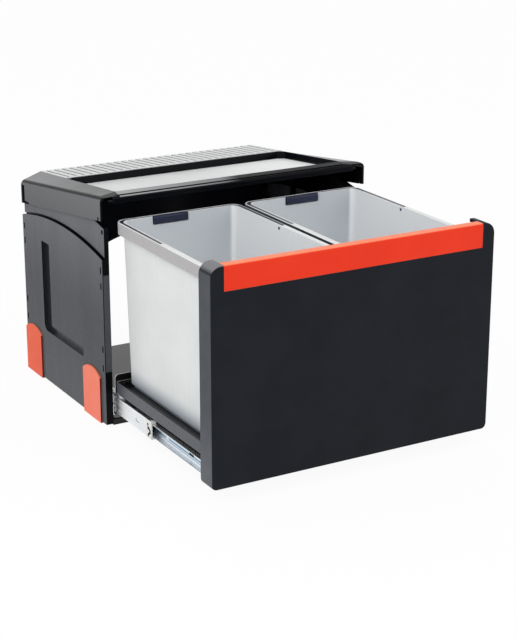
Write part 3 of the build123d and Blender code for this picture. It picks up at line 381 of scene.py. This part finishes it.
def orange_tone(tree, point, colour):
    """Painted sheen on the feet's outer faces, painted shade on their front edges and a painted
    highlight on the strip's top.
    """
    low = maths(tree, "LESS_THAN", part_of(tree, point, "Z"), FOOT_TOP)
    # Painted sheen on the feet's outer faces, paler towards the front
    forward = ramp(tree, part_of(tree, point, "Y"), *FOOT_SHEEN)
    pale = colour_between(tree, forward, linear(233, 86, 44), linear(244, 124, 98))
    colour = colour_between(tree, times(tree, sideways(tree), low), colour, pale)
    # Painted shade on the feet's front faces
    front = times(tree, faces(tree, "Y", FOOT_FRONT), low)
    colour = colour_between(tree, front, colour, linear(110, 18, 10))
    # Painted highlight on faces that look up, such as the strip's top
    return colour_between(tree, faces(tree, "Z", STRIP_TOP), colour, linear(250, 132, 92))


# Front panel

FLANGE_FACE = 0.22015
FLANGE_BLUR = 0.00065
FLANGE_TURN = (0.5, 0.95)
FLANGE_SHEEN = (0.02, 0.16)
CORNER_TURN = (0.35, 0.8)
CORNER_HEIGHT = (0.25, 0.27)
CORNER_SIDE = (0.1, -0.15)


def panel_tone(tree, point, colour):
    """Painted sheen on the panel's side flanges."""
    height = part_of(tree, point, "Z")
    across = part_of(tree, point, "X")
    outside = past(tree, unsigned(tree, across), FLANGE_FACE, FLANGE_BLUR)
    flange = times(tree, sideways(tree, FLANGE_TURN), outside)
    # Painted sheen, paler towards the flanges' foot
    sheen = colour_between(tree, ramp(tree, height, *FLANGE_SHEEN), grey(95, 9), grey(73, 9))
    colour = colour_between(tree, flange, colour, sheen)
    # Painted sheen on the rounded top of its left corner
    corner = times(
        tree,
        faces(tree, "Z", CORNER_TURN),
        ramp(tree, height, *CORNER_HEIGHT),
        ramp(tree, across, *CORNER_SIDE),
    )
    return colour_between(tree, corner, colour, grey(122, 4))


# Bin tray: its side bands and its rear end plate

TRAY_SIDE = 0.204
TRAY_BAND_FOOT = 0.051
END_PLATE = (-0.1549, -0.1545)
END_PLATE_TURN = (0.6, 0.4)


def tray_tone(tree, point, colour):
    """Painted sheen on the drawer's side bands, and painted highlights on the edges of its rear
    end plate.
    """
    # Painted sheen on the side bands' outer faces
    band = times(
        tree,
        sideways(tree, FLANGE_TURN),
        past(tree, unsigned(tree, part_of(tree, point, "X")), TRAY_SIDE),
        past(tree, part_of(tree, point, "Z"), TRAY_BAND_FOOT),
    )
    colour = colour_between(tree, band, colour, grey(79, 9))
    # Painted highlight on the edges of the rear end plate
    plate = ramp(tree, part_of(tree, point, "Y"), *END_PLATE)
    edge = ramp(tree, unsigned(tree, facing(tree, "Y")), *END_PLATE_TURN)
    return colour_between(tree, times(tree, plate, edge), colour, linear(196, 190, 189))


# Bins: places from the middle of either bin, its inside, its foot and the skirt of its rim

BIN_STREAKS = 260.0
BIN_STREAK_SHARE = 0.10
BIN_PLACE = 0.1025
BIN_DEPTH_PLACE = -0.288
BIN_INSIDE = (-0.02, -0.05)
BIN_OUTSIDE = (0.02, 0.05)
BIN_CROSSWISE = (0.5, 0.9)
BIN_BACK_SHEEN = (0.22, 0.3)
BIN_BACK_SHADE = (-0.07, 0.085)
BIN_BACK_SHARE = 0.4
BIN_CORNER_TURN = (0.995, 0.8)
BIN_FOOT = (0.1, 0.062)
BIN_FOOT_SHARE = 0.8
BIN_SKIRT = 0.2925
BIN_SKIRT_BLUR = 0.0002
BIN_SKIRT_SIDE = 0.096
BIN_SKIRT_END = 0.134
BIN_TOP_TURN = 0.5
BIN_GAP = 0.0065


def painted_inside_light(tree, point, mirror, look_x, look_y):
    """Painted light inside a bin, whose rear wall and round corners differ from its sides."""
    # Painted light on the rear wall, paler towards its foot and darker towards the rim
    level = ramp(tree, part_of(tree, point, "Z"), *BIN_BACK_SHEEN)
    back = colour_between(tree, level, linear(224, 228, 231), linear(200, 205, 209))
    # Painted shade darkens the rear wall to the right, and painted highlights light the round
    # corners
    middle = times(tree, mirror, BIN_PLACE)
    rightwards = maths(tree, "SUBTRACT", part_of(tree, point, "X"), middle)
    shade = ramp(tree, rightwards, *BIN_BACK_SHADE, 0.0, BIN_BACK_SHARE)
    back = colour_between(tree, shade, back, linear(178, 185, 191))
    # Painted light: the side walls inside are paler than the rear wall
    crosswise = ramp(tree, unsigned(tree, look_y), *BIN_CROSSWISE)
    inside_light = colour_between(tree, crosswise, linear(234, 236, 238), back)
    straight = maths(tree, "MAXIMUM", unsigned(tree, look_x), unsigned(tree, look_y))
    corner = ramp(tree, straight, *BIN_CORNER_TURN)
    return colour_between(tree, corner, inside_light, linear(241, 243, 245))


def bin_tone(tree, point, colour):
    """Fine upright streaks, painted light that makes the inside paler, painted shade on a cool
    foot and a warmer band round the rim.
    """
    height = part_of(tree, point, "Z")
    streaks = noise(tree, point, BIN_STREAKS, 2.0, stretch=(1.0, 1.0, 0.02))
    streak = spread(tree, streaks, 0.0, BIN_STREAK_SHARE)
    colour = colour_between(tree, streak, colour, linear(190, 196, 202))
    # Places from the middle of either bin, and how far a face looks away from it
    mirror = maths(tree, "SIGN", part_of(tree, point, "X"))
    reach = unsigned(tree, part_of(tree, point, "X"))
    across = maths(tree, "SUBTRACT", reach, BIN_PLACE)
    along = maths(tree, "SUBTRACT", part_of(tree, point, "Y"), BIN_DEPTH_PLACE)
    look_x = times(tree, facing(tree, "X"), mirror)
    look_y = facing(tree, "Y")
    away = maths(tree, "ADD", times(tree, across, look_x), times(tree, along, look_y))
    inside_light = painted_inside_light(tree, point, mirror, look_x, look_y)
    # Painted light inside the bin
    colour = colour_between(tree, ramp(tree, away, *BIN_INSIDE), colour, inside_light)
    # Painted shade and a painted reflection of the dark tray darken the outer walls towards the
    # foot, with a cool tint
    foot = ramp(tree, height, *BIN_FOOT, 0.0, BIN_FOOT_SHARE)
    foot = times(tree, foot, ramp(tree, away, *BIN_OUTSIDE))
    colour = colour_between(tree, foot, colour, linear(128, 140, 154))
    side = maths(tree, "GREATER_THAN", unsigned(tree, across), BIN_SKIRT_SIDE)
    end = maths(tree, "GREATER_THAN", unsigned(tree, along), BIN_SKIRT_END)
    skirt = times(
        tree,
        past(tree, height, BIN_SKIRT, BIN_SKIRT_BLUR),
        maths(tree, "MAXIMUM", side, end),
        maths(tree, "LESS_THAN", facing(tree, "Z"), BIN_TOP_TURN),
    )
    colour = colour_between(tree, skirt, colour, linear(173, 171, 172))
    # Painted shade on the skirts that face the other bin, as in their gap
    between = times(tree, skirt, maths(tree, "LESS_THAN", reach, BIN_GAP))
    return colour_between(tree, between, colour, linear(56, 60, 70))


# Pale sheets on the lid: the plain one in its tray, and the ribbed one behind that

LID_SLOPE = 30.0 / 294.0
LID_LEVEL = 0.317 + 0.147 * LID_SLOPE
SHELF_FRONT = 0.0445
SHELF_BLUR = 0.0004
MAT_FADE = (-0.02, 0.17)


def shelf_tone(tree, point, colour):
    """Plain sheet with painted light that makes it pale to the right, and painted shade in the
    grooves between the other's ribs.
    """
    depth = part_of(tree, point, "Y")
    slope = times(tree, depth, LID_SLOPE)
    level = maths(tree, "ADD", part_of(tree, point, "Z"), slope)
    # Painted light: the plain sheet is paler to the right
    rightwards = ramp(tree, part_of(tree, point, "X"), *MAT_FADE)
    colour = colour_between(tree, rightwards, colour, linear(238, 239, 239))
    behind = maths(tree, "GREATER_THAN", depth, SHELF_FRONT)
    colour = colour_between(tree, behind, colour, linear(214, 215, 215))
    # Painted shade in the grooves between the ribs
    groove = times(tree, short_of(tree, level, LID_LEVEL, SHELF_BLUR), behind)
    return colour_between(tree, groove, colour, linear(126, 128, 130))


# Slides: the inner members' channels, and the front stops

RAIL_SIDE = 0.2065
RAIL_LEVEL = 0.033
RAIL_CHANNEL = 0.0062
RAIL_STRIPES = 0.0026
RAIL_UNDER = 0.0084
STRIPE_SCALE = 420.0
STRIPE_RANGE = (0.36, 0.62)
STRIPE_HEAD = (-0.0016, 0.0002)
STOP_FACE = 0.2072
STOP_FRONT = -0.2679
STOP_REAR = -0.2508
STOP_FOOT = 0.0199
STOP_HEAD = 0.0461


def rail_tone(tree, point, colour):
    """Bluish stripes in the inner members' channels, before the stops, and painted shade on the
    underside.
    """
    level = maths(tree, "SUBTRACT", part_of(tree, point, "Z"), RAIL_LEVEL)
    reach = unsigned(tree, part_of(tree, point, "X"))
    inner = maths(tree, "LESS_THAN", reach, RAIL_SIDE)
    forward = maths(tree, "LESS_THAN", part_of(tree, point, "Y"), STOP_REAR)
    channel = times(tree, within(tree, level, -RAIL_CHANNEL, RAIL_STRIPES), inner, forward)
    lines = noise(tree, point, STRIPE_SCALE, 1.0, stretch=(0.0, 0.004, 1.0))
    pale = maths(
        tree, "MAXIMUM", ramp(tree, lines, *STRIPE_RANGE), ramp(tree, level, *STRIPE_HEAD)
    )
    stripe = colour_between(tree, pale, linear(120, 158, 190), linear(222, 234, 242))
    colour = colour_between(tree, channel, colour, stripe)
    # Painted shade along the underside
    under = times(tree, ramp(tree, level, -RAIL_UNDER, -RAIL_UNDER - LINE_BLUR), inner)
    return colour_between(tree, under, colour, grey(46))


# Finishes

CLOUD_SCALE = 16.0
GLOSS_SCALE = 50.0
GLOSS_DETAIL = 6.0
GLOSS_LEAST = 0.88
GLOSS_MOST = 1.12
WAVE_SCALE = 12.0
EDGE_RADIUS = 0.0006


def moulded(
    name,
    dark,
    light,
    edge,
    rough,
    ior,
    grain,
    grain_depth,
    wave_depth=0.00008,
    radius=EDGE_RADIUS,
    tone=None,
    matt=None,
):
    """Moulded plastic: fine grain, slow waves, uneven gloss and rubbed edges.

    The grain is a scale per metre. Tone changes the colour by place, and matt dulls the gloss.
    """
    material, tree, shader = new_material(name)
    point = object_point(tree)
    colour = colour_between(tree, spread(tree, noise(tree, point, CLOUD_SCALE)), dark, light)
    if tone is not None:
        colour = tone(tree, point, colour)
    soft = rounded_edges(tree, radius)
    colour = colour_between(tree, edge_share(tree, soft, point), colour, edge)
    tree.links.new(colour, shader.inputs["Base Color"])
    gloss = noise(tree, point, GLOSS_SCALE, GLOSS_DETAIL)
    gloss = spread(tree, gloss, rough * GLOSS_LEAST, rough * GLOSS_MOST)
    if matt is not None:
        gloss = maths(tree, "MAXIMUM", gloss, matt(tree, point))
    tree.links.new(gloss, shader.inputs["Roughness"])
    waves = bump(tree, noise(tree, point, WAVE_SCALE, 1.0), wave_depth, soft)
    fine = bump(tree, noise(tree, point, grain, 2.0), grain_depth, waves)
    tree.links.new(fine, shader.inputs["Normal"])
    shader.inputs["IOR"].default_value = ior
    return material


STEEL_STREAKS = 400.0
STEEL_STREAK_DEPTH = 0.0000003
STEEL_CLOUD_SCALE = 26.0
STEEL_DARKER = 0.95
STEEL_GLOSS_LEAST = 0.85
STEEL_GLOSS_MOST = 1.2
STEEL_EDGE_RADIUS = 0.0003


def plated_steel(name, tint, edge, rough, tone=None):
    """Bright plated steel, with faint streaks along the rolling direction."""
    material, tree, shader = new_material(name)
    point = object_point(tree)
    streaks = noise(tree, point, STEEL_STREAKS, 1.0, stretch=(1.0, 0.02, 1.0))
    cloud = spread(tree, noise(tree, point, STEEL_CLOUD_SCALE))
    darker = tuple(v * STEEL_DARKER for v in tint)
    colour = colour_between(tree, cloud, darker, tint)
    if tone is not None:
        colour = tone(tree, point, colour)
    soft = rounded_edges(tree, STEEL_EDGE_RADIUS)
    colour = colour_between(tree, edge_share(tree, soft, point), colour, edge)
    tree.links.new(colour, shader.inputs["Base Color"])
    gloss = spread(tree, streaks, rough * STEEL_GLOSS_LEAST, rough * STEEL_GLOSS_MOST)
    tree.links.new(gloss, shader.inputs["Roughness"])
    # The thin sheet keeps its flat normal, because rounded edges blacken it
    flat = tree.nodes.new("ShaderNodeNewGeometry").outputs["Normal"]
    fine = bump(tree, streaks, STEEL_STREAK_DEPTH, flat)
    tree.links.new(fine, shader.inputs["Normal"])
    shader.inputs["Metallic"].default_value = 1.0
    return material


def make_materials():
    """One material for each finish of the record."""
    return {
        "housing_black": moulded(
            "gloss_black",
            dark=linear(6, 7, 11),
            light=linear(9, 10, 15),
            edge=linear(58, 59, 64),
            rough=0.2,
            ior=1.15,
            grain=900.0,
            grain_depth=0.000001,
            wave_depth=0.00002,
            tone=lid_tone,
            matt=painted_slot_shade,
        ),
        "wall_grey": moulded(
            "wall_black",
            dark=grey(7, 4),
            light=grey(11, 4),
            edge=grey(64, 5),
            rough=0.28,
            ior=1.15,
            grain=700.0,
            grain_depth=0.000002,
            wave_depth=0.00003,
            tone=wall_tone,
        ),
        "base_black": moulded(
            "base_paint",
            dark=grey(12),
            light=grey(18),
            edge=grey(60),
            rough=0.2,
            ior=1.35,
            grain=500.0,
            grain_depth=0.000003,
            wave_depth=0.00005,
        ),
        "orange": moulded(
            "orange_plastic",
            dark=linear(224, 46, 12),
            light=linear(229, 51, 16),
            edge=linear(246, 104, 66),
            rough=0.42,
            ior=1.3,
            grain=2600.0,
            grain_depth=0.000006,
            tone=orange_tone,
        ),
        "panel_dark": moulded(
            "panel_anthracite",
            dark=linear(21, 24, 30),
            light=linear(25, 28, 34),
            edge=linear(66, 70, 78),
            rough=0.5,
            ior=1.2,
            grain=2200.0,
            grain_depth=0.000008,
            wave_depth=0.00006,
            tone=panel_tone,
        ),
        "tray_grey": moulded(
            "tray_plastic",
            dark=grey(12),
            light=grey(18),
            edge=grey(110),
            rough=0.3,
            ior=1.3,
            grain=1500.0,
            grain_depth=0.000005,
            tone=tray_tone,
        ),
        "mat_pale": moulded(
            "pale_mat",
            dark=linear(214, 216, 216),
            light=linear(220, 222, 222),
            edge=linear(232, 233, 233),
            rough=0.5,
            ior=1.4,
            grain=1800.0,
            grain_depth=0.000008,
            radius=0.0003,
            tone=shelf_tone,
        ),
        "bin_grey": moulded(
            "bin_plastic",
            dark=linear(221, 223, 223),
            light=linear(227, 229, 229),
            edge=linear(246, 247, 248),
            rough=0.42,
            ior=1.4,
            grain=2400.0,
            grain_depth=0.000006,
            wave_depth=0.0001,
            radius=0.0008,
            tone=bin_tone,
        ),
        "handle_blue": moulded(
            "handle_plastic",
            dark=linear(34, 39, 60),
            light=linear(40, 46, 68),
            edge=linear(84, 92, 120),
            rough=0.34,
            ior=1.35,
            grain=1800.0,
            grain_depth=0.000005,
        ),
        "slide_zinc": plated_steel(
            "zinc_plate",
            tint=(0.90, 0.92, 0.94),
            edge=(0.97, 0.98, 1.0),
            rough=0.36,
            tone=rail_tone,
        ),
        "screw_zinc": plated_steel(
            "zinc_screw",
            tint=(0.80, 0.81, 0.84),
            edge=(0.95, 0.95, 0.97),
            rough=0.28,
        ),
        "ball_steel": plated_steel(
            "ball_polish",
            tint=(0.90, 0.90, 0.92),
            edge=(0.97, 0.97, 0.98),
            rough=0.12,
        ),
        "stop_white": moulded(
            "stop_nylon",
            dark=linear(230, 230, 228),
            light=linear(236, 236, 234),
            edge=linear(238, 238, 236),
            rough=0.38,
            ior=1.4,
            grain=1800.0,
            grain_depth=0.000005,
        ),
    }


def dress_nodes(materials):
    """Every node of the frame takes the material of its slot."""
    for entry in frame["record"]["subparts"]:
        mesh = nodes[entry["node"]].data
        mesh.materials.clear()
        mesh.materials.append(materials[entry["material_slot"]])


# Outer face of the slides' front stops: a pale plate, a dark piece that paints the shadow in a
# wavy gap, and a dot

PLATE_SUNK = 0.0003
PLATE_PROUD = 0.0002
PLATE_BEVEL = 0.00012
PLATE_CORNER = 0.0012
CORNER_STEPS = 5
DETAIL_PROUD = 0.0003
DETAIL_BEVEL = 0.00004
BEVEL_STEPS = 2
WAVE_POINTS = (
    (-0.2568, 0.0352),
    (-0.2608, 0.0344),
    (-0.2643, 0.0318),
    (-0.2643, 0.0288),
    (-0.2608, 0.0264),
    (-0.2586, 0.0240),
    (-0.2594, 0.0215),
)
WAVE_HALF = 0.0020
WAVE_START_SHARE = 1.25
WAVE_TAPER = 0.55
WAVE_STEPS = 4
DOT_PLACE = (-0.2580, 0.0400)
DOT_RADIUS = 0.0021
DOT_SIDES = 16


def face_piece(name, body, outline, panes, span, bevel, material):
    """Flat piece between two places across, from an outline of depths and heights."""
    mesh = bpy.data.meshes.new(name)
    count = len(outline)
    corners = [(x, y, z) for x in span for y, z in outline]
    hull = [tuple(i + count for i in pane) for pane in panes]
    hull += [tuple(reversed(pane)) for pane in panes]
    hull += rim_faces(panes, count)
    mesh.from_pydata(corners, [], hull)
    shape = bmesh.new()
    shape.from_mesh(mesh)
    bmesh.ops.recalc_face_normals(shape, faces=shape.faces)
    shape.to_mesh(mesh)
    shape.free()
    piece = bpy.data.objects.new(name, mesh)
    bpy.context.scene.collection.objects.link(piece)
    soften = piece.modifiers.new("soften", "BEVEL")
    soften.width = bevel
    soften.segments = BEVEL_STEPS
    mesh.materials.append(material)
    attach(piece, body)


def rim_faces(panes, count):
    """Side faces along the edges that only one pane uses."""
    edges = [(pane[i], pane[(i + 1) % len(pane)]) for pane in panes for i in range(len(pane))]
    open_edges = [edge for edge in edges if (edge[1], edge[0]) not in edges]
    return [(a, b, b + count, a + count) for a, b in open_edges]


def round_corners(low, high, radius):
    """Rectangle between two corners, with round corners."""
    middles = (
        (high[0] - radius, high[1] - radius, 0),
        (low[0] + radius, high[1] - radius, 90),
        (low[0] + radius, low[1] + radius, 180),
        (high[0] - radius, low[1] + radius, 270),
    )
    points = []
    for y, z, start in middles:
        for i in range(CORNER_STEPS + 1):
            turn = math.radians(start + 90 * i / CORNER_STEPS)
            points.append((y + radius * math.cos(turn), z + radius * math.sin(turn)))
    return points


def curve_value(before, first, second, after, t):
    """Value at a share t of the way from the first to the second, on a smooth curve."""
    return 0.5 * (
        2 * first
        + (second - before) * t
        + (2 * before - 5 * first + 4 * second - after) * t**2
        + (3 * first - before - 3 * second + after) * t**3
    )


def smooth_line(points, steps):
    """Points along a smooth line through all the given ones."""
    ends = [points[0], *points, points[-1]]
    line = []
    for four in zip(ends, ends[1:], ends[2:], ends[3:]):
        for i in range(steps):
            line.append(tuple(curve_value(*values, i / steps) for values in zip(*four)))
    return [*line, points[-1]]


def wave_outline():
    """Outline and panes of the dark piece that paints the wavy gap's shadow, which narrows
    towards its foot.
    """
    line = smooth_line(WAVE_POINTS, WAVE_STEPS)
    last = len(line) - 1
    left, right = [], []
    for i, (y, z) in enumerate(line):
        ahead, behind = line[min(i + 1, last)], line[max(i - 1, 0)]
        run = math.hypot(ahead[0] - behind[0], ahead[1] - behind[1])
        half = WAVE_HALF * (WAVE_START_SHARE - WAVE_TAPER * i / last) / run
        step_y, step_z = (ahead[1] - behind[1]) * half, (ahead[0] - behind[0]) * half
        left.append((y - step_y, z + step_z))
        right.append((y + step_y, z - step_z))
    panes = [(i, i + 1, last + 2 + i, last + 1 + i) for i in range(last)]
    return left + right, panes


def dot_outline():
    """Outline of the round dot."""
    turns = [2 * math.pi * i / DOT_SIDES for i in range(DOT_SIDES)]
    y, z = DOT_PLACE
    return [(y + DOT_RADIUS * math.cos(t), z + DOT_RADIUS * math.sin(t)) for t in turns]


def add_stop_faces(materials):
    """The detail on both stops' outer sides."""
    plate = round_corners((STOP_FRONT, STOP_FOOT), (STOP_REAR, STOP_HEAD), PLATE_CORNER)
    plate_panes = [tuple(range(len(plate)))]
    plate_span = (STOP_FACE - PLATE_SUNK, STOP_FACE + PLATE_PROUD)
    wave, wave_panes = wave_outline()
    dot = dot_outline()
    dot_panes = [tuple(range(DOT_SIDES))]
    span = (STOP_FACE, STOP_FACE + DETAIL_PROUD)
    details = (
        ("stop_plate_", plate, plate_panes, plate_span, PLATE_BEVEL, "stop_white"),
        # A dark piece paints the shadow in the wavy gap
        ("stop_gap_shade_", wave, wave_panes, span, DETAIL_BEVEL, "housing_black"),
        ("stop_dot_", dot, dot_panes, span, DETAIL_BEVEL, "housing_black"),
    )
    for name, side in (("left", -1), ("right", 1)):
        for kind, outline, panes, (low, high), bevel, slot in details:
            face_piece(
                kind + name,
                "slide_" + name,
                outline,
                panes,
                (side * low, side * high),
                bevel,
                materials[slot],
            )


# Studio: white floor and surroundings, soft light

WHITE = (1.0, 1.0, 1.0, 1.0)
FLOOR_HALF = 6.0
FLOOR_DROP = 0.0005
FLOOR_COLOUR = (0.92, 0.92, 0.92, 1.0)
FLOOR_ROUGH = 0.8
FLOOR_GLOSS = 0.2
FLOOR_GLOW = 0.94
WORLD_LIGHT = 0.78
LIGHT_AIM = (0.0, -0.15, 0.15)


def seen_directly(tree):
    """1 for the camera's, mirrored and refracted rays, 0 for the rest."""
    path = tree.nodes.new("ShaderNodeLightPath")
    share = maths(tree, "MAXIMUM", path.outputs["Is Camera Ray"], path.outputs["Is Glossy Ray"])
    return maths(tree, "MAXIMUM", share, path.outputs["Is Transmission Ray"])


def add_world():
    """White surroundings for the camera, and a softer light on the object."""
    world = bpy.data.worlds.new("studio")
    bpy.context.scene.world = world
    world.use_nodes = True
    tree = world.node_tree
    tree.nodes.clear()
    out = tree.nodes.new("ShaderNodeOutputWorld")
    mix = tree.nodes.new("ShaderNodeMixShader")
    seen = tree.nodes.new("ShaderNodeBackground")
    seen.inputs["Color"].default_value = WHITE
    light = tree.nodes.new("ShaderNodeBackground")
    light.inputs["Strength"].default_value = WORLD_LIGHT
    light.inputs["Color"].default_value = WHITE
    tree.links.new(seen_directly(tree), mix.inputs["Fac"])
    tree.links.new(light.outputs[0], mix.inputs[1])
    tree.links.new(seen.outputs[0], mix.inputs[2])
    tree.links.new(mix.outputs[0], out.inputs["Surface"])


def add_floor():
    """Large white floor that keeps a faint shadow."""
    mesh = bpy.data.meshes.new("floor")
    half = FLOOR_HALF
    corners = [(-half, -half, 0), (half, -half, 0), (half, half, 0), (-half, half, 0)]
    mesh.from_pydata(corners, [], [(0, 1, 2, 3)])
    floor = bpy.data.objects.new("floor", mesh)
    floor.location.z = -FLOOR_DROP
    bpy.context.scene.collection.objects.link(floor)
    material, tree, shader = new_material("floor_white")
    shader.inputs["Base Color"].default_value = FLOOR_COLOUR
    shader.inputs["Roughness"].default_value = FLOOR_ROUGH
    shader.inputs["Specular IOR Level"].default_value = FLOOR_GLOSS
    glow = tree.nodes.new("ShaderNodeEmission")
    glow.inputs["Color"].default_value = WHITE
    mix = tree.nodes.new("ShaderNodeMixShader")
    share = maths(tree, "MULTIPLY", seen_directly(tree), FLOOR_GLOW)
    tree.links.new(share, mix.inputs["Fac"])
    tree.links.new(shader.outputs[0], mix.inputs[1])
    tree.links.new(glow.outputs[0], mix.inputs[2])
    tree.links.new(mix.outputs[0], tree.nodes["Material Output"].inputs["Surface"])
    mesh.materials.append(material)


def add_area_light(name, place, size, power):
    """Soft square lamp that faces the object."""
    data = bpy.data.lights.new(name, "AREA")
    data.size = size
    data.energy = power
    lamp = bpy.data.objects.new(name, data)
    lamp.location = place
    aim = Vector(LIGHT_AIM) - Vector(place)
    lamp.rotation_euler = aim.to_track_quat("-Z", "Y").to_euler()
    bpy.context.scene.collection.objects.link(lamp)


add_camera()
add_world()
add_floor()
add_area_light("key", place=(-2.2, -1.6, 2.4), size=1.8, power=34.0)
add_area_light("fill", place=(1.5, -2.6, 1.6), size=2.0, power=14.0)
finishes = make_materials()
dress_nodes(finishes)
add_stop_faces(finishes)

bpy.context.scene.view_settings.view_transform = "Standard"
